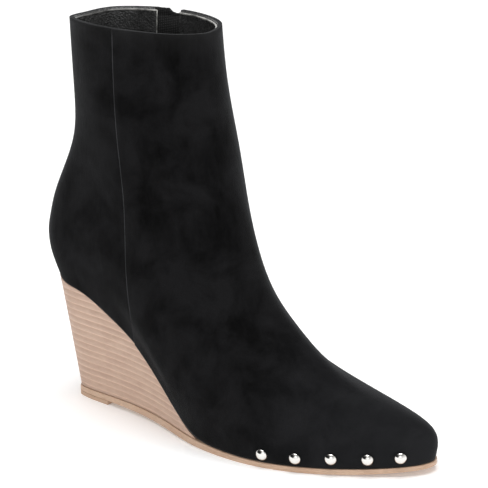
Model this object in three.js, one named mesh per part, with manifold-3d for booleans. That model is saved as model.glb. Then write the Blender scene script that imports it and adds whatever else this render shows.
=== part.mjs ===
// A woman's right ankle boot: suede upper, closed wedge heel in stacked layers, thin leather
// outsole, dome studs along the forefoot and a zip on the inner side.
// Lengths are in millimetres. X runs from heel to toe, Y towards the inner side of the foot and
// Z up. The origin is on the floor, under the heel tip, on the heel's middle line.
import * as THREE from "three";
import { mergeVertices } from "three/addons/utils/BufferGeometryUtils.js";
import Module from "manifold-3d";

const wasm = await Module();
wasm.setup();

// Last: the foot's length and widths, measured at the edge where the upper meets the sole.
// heelCup is how much of heelRise the seat line reaches at its very back, where it curls up.
const footLength = 246;
const seatWidth = 44;
const waistWidth = 52;
const heelRound = 0.66;
const ballWidth = 71;
const toeWidth = 39;
const heelRise = 70.5;
const heelCup = 1.1;
const archLength = 133;
const springStart = 172;
const toeSpring = 3.6;
const toeSwing = 12;

// Shaft: the leg part of the upper.
const bootHeight = 227;
const instepHeight = 103;
const shaftLength = 89;
const shaftWidth = 71;
const shaftForward = 42.1;
const shaftBack = 0.6;
const collarRise = 3.9;

// Upper: suede, lining and stiffeners together make one wall.
const wall = 2.4;
const seamStep = 0.7;
const seamEdge = 0.9;
const jointGap = 0.3;

// Sole, wedge, heel tip and insole.
const outsoleThickness = 2.8;
const outsoleMargin = 0.7;
const tipLength = 26;
const tipThickness = 2.3;
const wedgeEdge = 0.5;
const wedgeRake = 0.128;
const wedgeDraft = 0.17;
const wedgeInnerDraft = 0.1;
const insoleThickness = 2.6;

// Studs on the forefoot. fromToe is a stud's distance from the toe tip along the edge on the sole,
// as a share of footLength. rise is its height over that edge, as a share of studRise.
const studDiameter = 7.1;
const studEdge = 0.5;
const studHeight = 2.5;
const studRise = 6.3;
const studRow = [
  { fromToe: 0.081, rise: 1 },
  { fromToe: 0.152, rise: 1 },
  { fromToe: 0.232, rise: 1.05 },
  { fromToe: 0.311, rise: 0.89 },
  { fromToe: 0.39, rise: 0.84 },
];

// Zip on the inner side: a slot in the upper, the tape behind it and the chain in it. zipLength is
// the slot's height below the collar, and tapeTail the tape's below the slot.
const zipSetBack = 14.2;
const zipSlot = 8;
const zipMouth = 16;
const zipLength = 125.2;
const tapeTail = 8.8;
const tapeWidth = 21;
const tapeThickness = 0.8;
const tapeDrop = 3;
const chainWidth = 4.6;
const chainRecess = 0.5;
const chainFootRoom = 1.2;
const sliderDrop = 16;
const sliderLength = 10;
const sliderWidth = 7;
const sliderThickness = 2.2;
const bridgeWidth = 1.6;
const bridgeSpan = 7.2;
const bridgeStrip = 0.9;
const bridgePost = 1;
const bridgeRoom = 1.9;
const pullLength = 26;
const pullWidth = 6.4;
const pullThickness = 1.2;
const pullBar = 1.2;
const pullArm = 1.2;

const heelBack = -tipLength / 2 - wedgeRake * heelCup * heelRise;

// A curve of continuous curvature through the points (at[i], value[i]), straight at both ends.
function spline(at, value) {
  const last = at.length - 1;
  const bend = new Array(at.length).fill(0);
  const carry = new Array(at.length).fill(0);
  for (let i = 1; i < last; i++) {
    const before = at[i] - at[i - 1];
    const after = at[i + 1] - at[i];
    const turn = (value[i + 1] - value[i]) / after - (value[i] - value[i - 1]) / before;
    const pivot = 2 * (before + after) - before * carry[i - 1];
    carry[i] = after / pivot;
    bend[i] = (6 * turn - before * bend[i - 1]) / pivot;
  }
  for (let i = last - 1; i > 0; i--) bend[i] -= carry[i] * bend[i + 1];
  return (x) => {
    let i = 0;
    while (i < last - 1 && x > at[i + 1]) i++;
    const step = at[i + 1] - at[i];
    const a = (at[i + 1] - x) / step;
    const b = (x - at[i]) / step;
    const curve = ((a ** 3 - a) * bend[i] + (b ** 3 - b) * bend[i + 1]) * (step * step) / 6;
    return a * value[i] + b * value[i + 1] + curve;
  };
}

// One spline for each named column of a table, along the column called along.
function splinesOf(table, along) {
  const at = table.map((row) => row[along]);
  const columns = Object.keys(table[0]).filter((name) => name !== along);
  return Object.fromEntries(
    columns.map((name) => [name, spline(at, table.map((row) => row[name]))]),
  );
}

// Side view of the bottom. share runs from the heel's back edge to the toe tip.
// seat is the line that the upper stands on, as a share of the heel's rise above the outsole's
// top. strip is the outsole's thickness there, as a share of outsoleThickness.
const bottomLine = splinesOf(
  [
    { share: 0, seat: heelCup, strip: 1 },
    { share: 0.04, seat: 1.03, strip: 1.03 },
    { share: 0.1, seat: 0.985, strip: 1.1 },
    { share: 0.2, seat: 0.81, strip: 1.22 },
    { share: 0.28, seat: 0.635, strip: 1.3 },
    { share: 0.35, seat: 0.41, strip: 1.4 },
    { share: 0.42, seat: 0.155, strip: 1.4 },
    { share: 0.48, seat: 0.01, strip: 1.3 },
    { share: 0.54, seat: 0, strip: 1.15 },
    { share: 0.6, seat: 0, strip: 1 },
    { share: 0.7, seat: 0, strip: 1 },
    { share: 0.85, seat: 0, strip: 1 },
    { share: 1, seat: 0, strip: 0.88 },
  ],
  "share",
);

const shareAt = (x) => THREE.MathUtils.clamp((x - heelBack) / footLength, 0, 1);

// Height of the outsole's underside over the floor: on the heel tip, on the floor, then up the toe.
function underside(x) {
  const fall = THREE.MathUtils.clamp((x - tipLength / 2) / (archLength - tipLength), 0, 1);
  const roll = Math.max(0, (x - heelBack - springStart) / (footLength - springStart));
  return ((tipThickness + jointGap) * (1 + Math.cos(Math.PI * fall))) / 2 + toeSpring * roll ** 2;
}

// Height of the outsole's top, which carries the wedge.
function outsoleTop(x) {
  return underside(x) + bottomLine.strip(shareAt(x)) * outsoleThickness;
}

// Height of the surface that carries the upper and the insole.
function seat(x) {
  const back = heelRise - outsoleTop(heelBack);
  return outsoleTop(x) + Math.max(0, bottomLine.seat(shareAt(x))) * back;
}

// Sideways shift of the foot's middle line, as a share of toeSwing: out at the waist, in at the toe.
const middleLine = splinesOf(
  [
    { share: 0, swing: 0 },
    { share: 0.2, swing: 0.13 },
    { share: 0.4, swing: -0.13 },
    { share: 0.6, swing: -0.13 },
    { share: 0.8, swing: 0.46 },
    { share: 1, swing: 1.03 },
  ],
  "share",
);

// Loops of the upper, from the edge on the sole (level 0) to the collar (level 1).
// leg turns from the foot's back and widths to the shaft's. counter is how far the back stands out
// behind that, as a share of seatWidth. reach puts the front end between the shin (0) and the toe
// tip (1). rise is the back end's height, as a share of the way from the seat to the collar. vamp
// and shin give the front end's height, as shares of the way up to instepHeight and of what is
// above it. follow is how much of the bottom's curve the loop keeps. heel, waist, ball and tip are its widths at
// four stations, as shares of the named widths. side is where the side seams run, as a share of
// the loop's length.
const loops = splinesOf(
  [
    { level: 0, leg: 0, counter: 0, reach: 1, rise: 0, vamp: 0, shin: 0, follow: 1,
      heel: 1, waist: 1, ball: 1, tip: 1, side: 0.278 },
    { level: 0.05, leg: 0, counter: 0.057, reach: 1.018, rise: 0.04, vamp: 0.124, shin: 0, follow: 1,
      heel: 1.027, waist: 1.054, ball: 1.061, tip: 1.054, side: 0.284 },
    { level: 0.11, leg: 0, counter: 0.1, reach: 0.968, rise: 0.085, vamp: 0.207, shin: 0, follow: 0.95,
      heel: 1.104, waist: 1.116, ball: 1.071, tip: 1.012, side: 0.303 },
    { level: 0.18, leg: 0.01, counter: 0.125, reach: 0.887, rise: 0.13, vamp: 0.262, shin: 0, follow: 0.85,
      heel: 1.126, waist: 1.157, ball: 1.061, tip: 0.934, side: 0.324 },
    { level: 0.26, leg: 0.04, counter: 0.135, reach: 0.79, rise: 0.185, vamp: 0.304, shin: 0, follow: 0.7,
      heel: 1.133, waist: 1.189, ball: 1.021, tip: 0.837, side: 0.348 },
    { level: 0.35, leg: 0.1, counter: 0.115, reach: 0.62, rise: 0.245, vamp: 0.383, shin: 0, follow: 0.5,
      heel: 1.12, waist: 1.175, ball: 0.962, tip: 0.763, side: 0.382 },
    { level: 0.44, leg: 0.2, counter: 0.1, reach: 0.455, rise: 0.315, vamp: 0.544, shin: 0, follow: 0.3,
      heel: 1.07, waist: 1.135, ball: 0.921, tip: 0.722, side: 0.418 },
    { level: 0.53, leg: 0.38, counter: 0.07, reach: 0.29, rise: 0.395, vamp: 0.761, shin: 0, follow: 0.15,
      heel: 1.018, waist: 1.028, ball: 0.889, tip: 0.754, side: 0.456 },
    { level: 0.62, leg: 0.6, counter: 0.012, reach: 0.185, rise: 0.49, vamp: 1, shin: 0.02, follow: 0.05,
      heel: 0.965, waist: 0.953, ball: 0.878, tip: 0.838, side: 0.479 },
    { level: 0.72, leg: 0.85, counter: -0.022, reach: 0.113, rise: 0.605, vamp: 1, shin: 0.22, follow: 0,
      heel: 0.965, waist: 0.916, ball: 0.897, tip: 0.972, side: 0.482 },
    { level: 0.82, leg: 1, counter: 0.002, reach: 0.065, rise: 0.735, vamp: 1, shin: 0.46, follow: 0,
      heel: 1.01, waist: 0.925, ball: 0.916, tip: 0.993, side: 0.491 },
    { level: 0.91, leg: 1, counter: -0.004, reach: 0.02, rise: 0.865, vamp: 1, shin: 0.72, follow: 0,
      heel: 1.05, waist: 0.94, ball: 0.92, tip: 0.95, side: 0.518 },
    { level: 1, leg: 1, counter: 0, reach: 0, rise: 1, vamp: 1, shin: 0.998, follow: 0,
      heel: 1.07, waist: 0.985, ball: 0.93, tip: 0.92, side: 0.549 },
  ],
  "level",
);

// Stations of the half widths around a loop, from its back end to its front end.
// The first one rounds the back.
const stations = [0, 0.1, 0.22, 0.42, 0.62, 0.82, 1];
const footWidths = { heel: seatWidth, waist: waistWidth, ball: ballWidth, tip: toeWidth };
const shaftRound = { heel: 0.62, waist: 0.96, ball: 0.97, tip: 0.6 };

// One loop of the upper. turn goes round it: 0 at the back, 1 at the front, outer side first.
function loopAt(level) {
  const row = Object.fromEntries(Object.entries(loops).map(([name, f]) => [name, f(level)]));
  const mix = THREE.MathUtils.lerp;
  const xBack = mix(heelBack, shaftForward - shaftLength / 2, row.leg) - row.counter * seatWidth;
  const xFront = mix(shaftForward + shaftLength / 2, heelBack + footLength, row.reach);
  const zBack = heelRise + row.rise * (bootHeight - heelRise);
  const seatEnd = seat(heelBack + footLength);
  const zFront = mix(seatEnd, instepHeight, row.vamp) + row.shin * (bootHeight - instepHeight);
  const halves = Object.keys(footWidths).map(
    (name) => (row[name] * mix(footWidths[name], shaftWidth * shaftRound[name], row.leg)) / 2,
  );
  const halfWidth = spline(stations, [0, halves[0] * mix(heelRound, shaftBack, row.leg), ...halves, 0]);
  const point = (turn) => {
    const wrapped = THREE.MathUtils.euclideanModulo(turn, 2);
    const along = wrapped < 1 ? wrapped : 2 - wrapped;
    const share = (1 - Math.cos(Math.PI * along)) / 2;
    const x = mix(xBack, xFront, share);
    const dip = seat(heelBack + share * footLength) - mix(heelRise, seatEnd, share);
    const shift = toeSwing * middleLine.swing(shareAt(x)) * (1 - Math.min(1, level * 1.2));
    const y = shift + (wrapped < 1 ? -1 : 1) * halfWidth(along);
    const rim = collarRise * Math.max(0, (level - 0.7) / 0.3) ** 2 * Math.max(0, Math.sin(Math.PI * turn));
    return new THREE.Vector3(x, y, mix(zBack, zFront, share) + row.follow * dip + rim);
  };
  // The turn at which the side seam of that side crosses the loop, moved forward by some millimetres.
  const sideTurn = (side, forward) => {
    const share = row.side + forward / (xFront - xBack);
    const along = Math.acos(1 - 2 * share) / Math.PI;
    return side < 0 ? along : 2 - along;
  };
  return { point, sideTurn };
}

// Point of the upper's outer face at a level and turn, sunk by depth along the face's normal.
function upperPoint(level, turn, depth) {
  const nudge = 1e-3;
  const low = Math.max(0, level - nudge);
  const high = Math.min(1, level + nudge);
  const middle = loopAt(level);
  const around = middle.point(turn + nudge).sub(middle.point(turn - nudge));
  const up = loopAt(high).point(turn).sub(loopAt(low).point(turn));
  const normal = new THREE.Vector3().crossVectors(around, up);
  if (level === 0) normal.z = 0;
  normal.normalize();
  return { point: middle.point(turn).addScaledVector(normal, -depth), normal };
}

// A closed solid between two faces of the same grid. open(i, j) leaves out a cell of it.
function shell(outer, inner, wraps, open = () => false) {
  const rows = outer.length;
  const columns = outer[0].length;
  const cellRows = rows - 1;
  const cellColumns = wraps ? columns : columns - 1;
  const positions = [...outer, ...inner].flat().flatMap((p) => p.toArray());
  const at = (face, i, j) => (face * rows + i) * columns + (j % columns);
  const solid = (i, j) => {
    const column = wraps ? (j + cellColumns) % cellColumns : j;
    return i >= 0 && i < cellRows && column >= 0 && column < cellColumns && !open(i, column);
  };
  const index = [];
  const quad = (a, b, c, d) => index.push(a, b, c, a, c, d);
  for (let i = 0; i < cellRows; i++) {
    for (let j = 0; j < cellColumns; j++) {
      if (!solid(i, j)) continue;
      quad(at(0, i, j), at(0, i, j + 1), at(0, i + 1, j + 1), at(0, i + 1, j));
      quad(at(1, i, j), at(1, i + 1, j), at(1, i + 1, j + 1), at(1, i, j + 1));
      if (!solid(i - 1, j)) quad(at(0, i, j), at(1, i, j), at(1, i, j + 1), at(0, i, j + 1));
      if (!solid(i + 1, j))
        quad(at(0, i + 1, j + 1), at(1, i + 1, j + 1), at(1, i + 1, j), at(0, i + 1, j));
      if (!solid(i, j - 1)) quad(at(0, i + 1, j), at(1, i + 1, j), at(1, i, j), at(0, i, j));
      if (!solid(i, j + 1))
        quad(at(0, i, j + 1), at(1, i, j + 1), at(1, i + 1, j + 1), at(0, i + 1, j + 1));
    }
  }
  return closed(positions, index);
}

// Merges equal vertices, drops the triangles that this leaves without area, and adds normals.
function closed(positions, index) {
  const raw = new THREE.BufferGeometry();
  raw.setAttribute("position", new THREE.Float32BufferAttribute(positions, 3));
  raw.setIndex(index);
  const merged = mergeVertices(raw, 1e-3);
  const corners = Array.from(merged.index.array);
  const kept = [];
  for (let i = 0; i < corners.length; i += 3) {
    const [a, b, c] = corners.slice(i, i + 3);
    if (a !== b && b !== c && c !== a) kept.push(a, b, c);
  }
  merged.setIndex(kept);
  merged.computeVertexNormals();
  return merged;
}

const levelsOf = (count, from = 0, to = 1) =>
  Array.from({ length: count + 1 }, (_, i) => from + ((to - from) * i) / count);

// Level at which the loops reach a height at that turn.
function levelAtHeight(turn, z) {
  let low = 0;
  let high = 1;
  for (let i = 0; i < 30; i++) {
    const middle = (low + high) / 2;
    if (loopAt(middle).point(turn).z < z) low = middle;
    else high = middle;
  }
  return (low + high) / 2;
}

// The upper: one wall round the foot and leg, open at the collar, below and at the zip.
const upperLevels = 28;
const backColumns = 13;
const frontColumns = 22;
const seamFade = [1, 1, 0.8, 0.6, 0.4, 0.2];

// The turn at which the zip's middle line crosses the loop of a level, moved forward by some
// millimetres. Its leg part lies zipSetBack behind the place of the side seam.
function zipLine(level, forward) {
  const setBack = zipSetBack * Math.min(1, level / 0.3);
  return loopAt(level).sideTurn(1, forward - setBack);
}

// Turns of the upper's columns at a level, and how far each stands proud beside the outer seam.
function upperColumns(level) {
  const loop = loopAt(level);
  const seam = loop.sideTurn(-1, 0);
  const fold = loop.sideTurn(-1, seamEdge);
  const mouth = Math.max(0, (level - 0.93) / 0.07) ** 2;
  const half = THREE.MathUtils.lerp(zipSlot, zipMouth, mouth) / 2;
  const zipFront = zipLine(level, half);
  const zipBack = zipLine(level, -half);
  const list = [];
  for (let i = 0; i <= backColumns; i++) list.push({ turn: (seam * i) / backColumns, lift: 0 });
  for (let i = 0; i <= frontColumns; i++) {
    list.push({ turn: fold + ((1 - fold) * i) / frontColumns, lift: seamStep * (seamFade[i] ?? 0) });
  }
  for (let i = 1; i <= frontColumns; i++) {
    list.push({ turn: 1 + ((zipFront - 1) * i) / frontColumns, lift: 0 });
  }
  for (let i = 0; i < backColumns; i++) {
    list.push({ turn: zipBack + ((2 - zipBack) * i) / backColumns, lift: 0 });
  }
  return list;
}
const zipColumn = backColumns + 1 + 2 * frontColumns;

function upper() {
  // The row of the wall that is nearest to the foot of the zip's slot is moved onto it.
  const footLevel = levelAtHeight(zipTurn, slotFoot);
  const footRow = Math.round(footLevel * upperLevels);
  const levels = levelsOf(upperLevels);
  levels[footRow] = footLevel;
  const faceAt = (sink) =>
    levels.map((level) =>
      upperColumns(level).map(({ turn, lift }) => {
        const { point } = upperPoint(level, turn, sink ? wall : -lift);
        if (level === 0) point.z = seat(point.x) + jointGap;
        return point;
      }),
    );
  const zipOpen = (i, j) => j === zipColumn && i >= footRow;
  return shell(faceAt(false), faceAt(true), true, zipOpen);
}

// Outline of the bottom pieces: the upper's edge on the sole, grown outwards by some millimetres.
const featherEdge = loopAt(0);

function edgePoint(turn, grow) {
  const { point, normal } = upperPoint(0, turn, -grow);
  return { point, normal };
}

// Foot of the wedge below an edge point: raked forward at the back and drafted in at the sides.
function wedgeFoot(turn, grow) {
  const { point, normal } = edgePoint(turn, 0);
  const height = seat(point.x) - outsoleTop(point.x);
  const foot = point.clone();
  foot.x -= height * wedgeRake * Math.min(0, normal.x);
  foot.y -= height * (normal.y > 0 ? wedgeInnerDraft : wedgeDraft) * normal.y;
  return foot.addScaledVector(normal, grow);
}

// Pairs of turns across the foot, from the heel to the toe. The pieces under the upper have their
// corners there: at its lowest columns and halfway between them, so that the straight edges match.
const edgeTurns = upperColumns(0).map(({ turn }) => turn);
const columnPairs = Array.from({ length: backColumns + frontColumns + 2 }, (_, i) => ({
  outer: edgeTurns[i],
  inner: i === 0 ? 2 : edgeTurns[edgeTurns.length - i],
}));
const crossings = columnPairs.flatMap((pair, i) => {
  const next = columnPairs[i + 1];
  if (!next) return [pair];
  return [pair, { outer: (pair.outer + next.outer) / 2, inner: (pair.inner + next.inner) / 2 }];
});

// Those pairs up to an end, given as the outer side's turn.
function crossingsTo(end) {
  const kept = crossings.filter(({ outer, inner }) => outer < end && 2 - inner < end);
  return [...kept, { outer: end, inner: 2 - end }];
}

// A solid of four-cornered sections across the foot. corners(pair) gives the outer side's low and
// high corner and the inner side's high and low one.
function crossLoft(pairs, corners) {
  const sections = pairs.map(corners);
  const positions = sections.flat().flatMap((p) => p.toArray());
  const index = [];
  for (let i = 0; i < sections.length - 1; i++) {
    for (let j = 0; j < 4; j++) {
      const a = 4 * i + j;
      const b = 4 * i + ((j + 1) % 4);
      index.push(a, a + 4, b + 4, a, b + 4, b);
    }
  }
  const end = 4 * (sections.length - 1);
  index.push(0, 1, 2, 0, 2, 3, end, end + 2, end + 1, end, end + 3, end + 2);
  return closed(positions, index);
}

// Share of the way from heel to toe at which a falling function of it first drops to a value.
function firstBelow(height, value) {
  let low = 0;
  let high = 1;
  for (let i = 0; i < 40; i++) {
    const middle = (low + high) / 2;
    if (height(middle) > value) low = middle;
    else high = middle;
  }
  return low;
}

function wedge() {
  const room = (along) => {
    const { x } = edgePoint(along, 0).point;
    return seat(x) - outsoleTop(x) - jointGap;
  };
  const front = firstBelow(room, wedgeEdge);
  const corner = (turn, top) => {
    const point = top ? edgePoint(turn, 0).point : wedgeFoot(turn, 0);
    point.z = top ? seat(point.x) : outsoleTop(point.x) + jointGap;
    return point;
  };
  return crossLoft(crossingsTo(front), ({ outer, inner }) => [
    corner(outer, false),
    corner(outer, true),
    corner(inner, true),
    corner(inner, false),
  ]);
}

function outsole() {
  const corner = (turn, height) => {
    const point = wedgeFoot(turn, outsoleMargin);
    point.z = height(point.x);
    return point;
  };
  return crossLoft(crossings, ({ outer, inner }) => [
    corner(outer, underside),
    corner(outer, outsoleTop),
    corner(inner, outsoleTop),
    corner(inner, underside),
  ]);
}

function heelTip() {
  const front = firstBelow((along) => -wedgeFoot(along, 0).x, -tipLength / 2);
  const corner = (turn, z) => {
    const point = wedgeFoot(turn, outsoleMargin);
    point.z = z;
    return point;
  };
  return crossLoft(crossingsTo(front), ({ outer, inner }) => [
    corner(outer, 0),
    corner(outer, tipThickness),
    corner(inner, tipThickness),
    corner(inner, 0),
  ]);
}

function insole() {
  const corner = (turn, lift) => {
    const point = edgePoint(turn, -(wall + jointGap)).point;
    point.z = seat(point.x) + jointGap + lift;
    return point;
  };
  return crossLoft(crossings, ({ outer, inner }) => [
    corner(outer, 0),
    corner(outer, insoleThickness),
    corner(inner, insoleThickness),
    corner(inner, 0),
  ]);
}

// A dome stud, standing on its flat back with its axis along Y.
function studShape() {
  const radius = studDiameter / 2;
  const rise = studHeight - studEdge;
  const sphere = (radius ** 2 + rise ** 2) / (2 * rise);
  const steps = 4;
  const outline = [new THREE.Vector2(0, 0), new THREE.Vector2(radius, 0)];
  for (let i = 0; i <= steps; i++) {
    const angle = Math.asin(radius / sphere) * (1 - i / steps);
    const height = studHeight - sphere * (1 - Math.cos(angle));
    outline.push(new THREE.Vector2(sphere * Math.sin(angle), height));
  }
  return welded(new THREE.LatheGeometry(outline, 14));
}

// Place of a stud on one side of the foot.
function studPlace(side, { fromToe, rise }) {
  let turn = 1;
  let walked = 0;
  const step = 1e-3;
  while (walked < fromToe * footLength) {
    const from = featherEdge.point(turn);
    turn += side * step;
    walked += from.distanceTo(featherEdge.point(turn));
  }
  const level = levelAtHeight(turn, seat(featherEdge.point(turn).x) + rise * studRise);
  return upperPoint(level, turn, -jointGap);
}

// The same triangles with their equal vertices merged.
function welded(geometry) {
  const positions = Array.from(geometry.attributes.position.array);
  const count = positions.length / 3;
  const index = geometry.index ? Array.from(geometry.index.array) : [...Array(count).keys()];
  return closed(positions, index);
}

// A strip that follows the zip slot: some width across, between two depths under the outer face.
function zipStrip(width, nearDepth, farDepth, fromHeight, toHeight, rows, columns) {
  const from = levelAtHeight(zipTurn, fromHeight);
  const to = levelAtHeight(zipTurn, toHeight);
  const levels = levelsOf(rows, from, to);
  const across = levelsOf(columns, width / 2, -width / 2);
  const face = (depth) =>
    levels.map((level) =>
      across.map((forward) => upperPoint(level, zipLine(level, forward), depth).point),
    );
  return shell(face(nearDepth), face(farDepth), false);
}

const zipTurn = zipLine(1, 0);
const rimHeight = loopAt(1).point(zipTurn).z;
const slotFoot = rimHeight - zipLength;
const chainFoot = slotFoot + chainFootRoom;
const sliderHeight = rimHeight - sliderDrop;
const chainTop = sliderHeight + sliderLength / 2;
const tapeFoot = slotFoot - tapeTail;
const tapeDepth = wall + jointGap;

const zipTape = () =>
  zipStrip(tapeWidth, tapeDepth, tapeDepth + tapeThickness, tapeFoot, rimHeight - tapeDrop, 16, 4);

const zipChain = () => zipStrip(chainWidth, chainRecess, wall, chainFoot, chainTop, 16, 1);

// The slider stands upright in front of the chain. Its own axes: X across, Y up, Z outwards.
const chainFront = Math.max(
  ...[-1, 0, 1].map((end) => {
    const level = levelAtHeight(zipTurn, sliderHeight + (end * sliderLength) / 2);
    return upperPoint(level, zipLine(level, 0), chainRecess).point.y;
  }),
);
const sliderLevel = levelAtHeight(zipTurn, sliderHeight);
const sliderPlace = new THREE.Vector3(
  loopAt(sliderLevel).point(zipLine(sliderLevel, 0)).x,
  chainFront + jointGap,
  sliderHeight,
);
const sliderAxes = new THREE.Matrix4().makeBasis(
  new THREE.Vector3(-1, 0, 0),
  new THREE.Vector3(0, 0, 1),
  new THREE.Vector3(0, 1, 0),
);

const pullAxisHeight = sliderThickness + bridgeRoom / 2;

function toSolid(geometry) {
  const shape = welded(geometry);
  return wasm.Manifold.ofMesh(
    new wasm.Mesh({
      numProp: 3,
      vertProperties: new Float32Array(shape.attributes.position.array),
      triVerts: new Uint32Array(shape.index.array),
    }),
  );
}

function toGeometry(solid) {
  const mesh = solid.getMesh();
  return closed(Array.from(mesh.vertProperties), Array.from(mesh.triVerts));
}

function box(width, height, depth, x, y, z) {
  return new THREE.BoxGeometry(width, height, depth).translate(x, y, z);
}

// The slider: a plate that narrows downwards, with a bridge on it for the pull tab.
function slider() {
  const top = sliderWidth / 2;
  const foot = sliderWidth * 0.38;
  const end = sliderLength / 2;
  const outline = new THREE.Shape();
  outline.moveTo(-foot, -end);
  outline.lineTo(foot, -end);
  outline.lineTo(top, end * 0.3);
  outline.quadraticCurveTo(top, end, 0, end);
  outline.quadraticCurveTo(-top, end, -top, end * 0.3);
  const plate = new THREE.ExtrudeGeometry(outline, {
    depth: sliderThickness,
    bevelEnabled: false,
    curveSegments: 5,
  });
  const bridgeHeight = bridgeRoom + bridgeStrip;
  const post = (side) =>
    box(bridgeWidth, bridgePost, bridgeHeight + 0.2, 0, (side * (bridgeSpan - bridgePost)) / 2,
      sliderThickness + bridgeHeight / 2 - 0.1);
  const strip = box(bridgeWidth, bridgeSpan, bridgeStrip, 0, 0,
    sliderThickness + bridgeRoom + bridgeStrip / 2);
  return toGeometry(wasm.Manifold.union([plate, post(-1), post(1), strip].map(toSolid)));
}

// The pull tab, hanging from its bar, which lies in the bridge at the tab's own origin.
function pullTab() {
  const half = pullWidth / 2;
  const top = pullBar / 2;
  const windowFoot = -(bridgeSpan / 2 + pullBar);
  const windowHalf = half - pullArm;
  const outline = new THREE.Shape();
  outline.moveTo(-half, top);
  outline.lineTo(-half * 0.8, -pullLength + half);
  outline.quadraticCurveTo(-half * 0.8, -pullLength, 0, -pullLength);
  outline.quadraticCurveTo(half * 0.8, -pullLength, half * 0.8, -pullLength + half);
  outline.lineTo(half, top);
  const eye = new THREE.Path();
  eye.moveTo(-windowHalf, -top);
  eye.lineTo(windowHalf, -top);
  eye.lineTo(windowHalf * 0.9, windowFoot);
  eye.lineTo(-windowHalf * 0.9, windowFoot);
  outline.holes.push(eye);
  const plate = new THREE.ExtrudeGeometry(outline, {
    depth: pullThickness,
    bevelEnabled: false,
    curveSegments: 5,
  });
  return welded(plate.translate(0, 0, -pullThickness / 2));
}

// Materials, with the colours of the real boot.
const finish = (color, roughness, metalness = 0) =>
  new THREE.MeshStandardMaterial({ color, roughness, metalness });
const suede = finish(0x191919, 0.95);
const stack = finish(0xc4a08a, 0.55);
const leather = finish(0xd0a078, 0.5);
const rubber = finish(0xd0a078, 0.7);
const lining = finish(0x262626, 0.5);
const steel = finish(0xd8d8d8, 0.15, 1);
const tape = finish(0x1d1d1d, 0.9);
const teeth = finish(0x3a3a3c, 0.4, 0.8);

const boot = new THREE.Group();

function add(name, geometry, material) {
  const mesh = new THREE.Mesh(geometry, material);
  mesh.name = name;
  boot.add(mesh);
  return mesh;
}

add("upper", upper(), suede);
add("wedge", wedge(), stack);
add("outsole", outsole(), leather);
add("heel_tip", heelTip(), rubber);
add("insole", insole(), lining);

for (const [side, label] of [[-1, "outer"], [1, "inner"]]) {
  for (const [i, row] of studRow.entries()) {
    const stud = add(`stud_${label}_${i + 1}`, studShape(), steel);
    const { point, normal } = studPlace(side, row);
    stud.position.copy(point);
    stud.quaternion.setFromUnitVectors(new THREE.Vector3(0, 1, 0), normal);
  }
}

add("zip_tape", zipTape(), tape);
add("zip_chain", zipChain(), teeth);
const zipSlider = add("zip_slider", slider(), steel);
zipSlider.position.copy(sliderPlace);
zipSlider.quaternion.setFromRotationMatrix(sliderAxes);
const zipPull = add("zip_pull", pullTab(), steel);
zipPull.position.copy(sliderPlace).add(new THREE.Vector3(0, pullAxisHeight, 0));
zipPull.quaternion.setFromRotationMatrix(sliderAxes);

export default boot;
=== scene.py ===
import math

import bmesh
import bpy
from mathutils import Matrix, Vector
from mathutils.bvhtree import BVHTree


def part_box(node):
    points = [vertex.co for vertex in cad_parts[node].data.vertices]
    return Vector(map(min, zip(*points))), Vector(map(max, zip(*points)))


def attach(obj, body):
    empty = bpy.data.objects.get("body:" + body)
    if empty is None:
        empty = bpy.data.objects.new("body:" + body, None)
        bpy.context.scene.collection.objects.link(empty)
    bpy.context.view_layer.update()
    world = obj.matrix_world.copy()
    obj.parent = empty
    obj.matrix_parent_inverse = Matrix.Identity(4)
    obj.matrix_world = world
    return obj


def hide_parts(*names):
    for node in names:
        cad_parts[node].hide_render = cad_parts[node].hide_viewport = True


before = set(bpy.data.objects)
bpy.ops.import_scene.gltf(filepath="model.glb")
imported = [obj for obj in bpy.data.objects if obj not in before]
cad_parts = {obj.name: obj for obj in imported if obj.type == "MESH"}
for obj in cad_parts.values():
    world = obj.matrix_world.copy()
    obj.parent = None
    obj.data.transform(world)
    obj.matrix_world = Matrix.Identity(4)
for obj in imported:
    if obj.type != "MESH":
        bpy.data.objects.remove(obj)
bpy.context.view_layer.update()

# The camera looks at the boot's outer side, toe to the right and slightly from above, with a long
# lens and a small tilt, as the photograph does.
CAMERA_AZIMUTH = math.radians(38.726)
CAMERA_ELEVATION = math.radians(17.847)
CAMERA_ROLL = math.radians(-1.379)
CAMERA_DISTANCE = 1.622727
CAMERA_TARGET = Vector((0.1068, 0.0, 0.11102))

toward_camera = Vector((
    math.sin(CAMERA_AZIMUTH) * math.cos(CAMERA_ELEVATION),
    -math.cos(CAMERA_AZIMUTH) * math.cos(CAMERA_ELEVATION),
    math.sin(CAMERA_ELEVATION),
))
level_right = Vector((math.cos(CAMERA_AZIMUTH), math.sin(CAMERA_AZIMUTH), 0))
level_up = toward_camera.cross(level_right)
camera_right = level_right * math.cos(CAMERA_ROLL) + level_up * math.sin(CAMERA_ROLL)
camera_up = level_up * math.cos(CAMERA_ROLL) - level_right * math.sin(CAMERA_ROLL)
camera_data = bpy.data.cameras.new("camera")
camera_data.lens = 219.17
camera_data.sensor_width = 36
camera = bpy.data.objects.new("camera", camera_data)
bpy.context.scene.collection.objects.link(camera)
axes = Matrix((camera_right, camera_up, toward_camera)).transposed().to_4x4()
camera.matrix_world = Matrix.Translation(CAMERA_TARGET + toward_camera * CAMERA_DISTANCE) @ axes
bpy.context.scene.camera = camera


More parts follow.
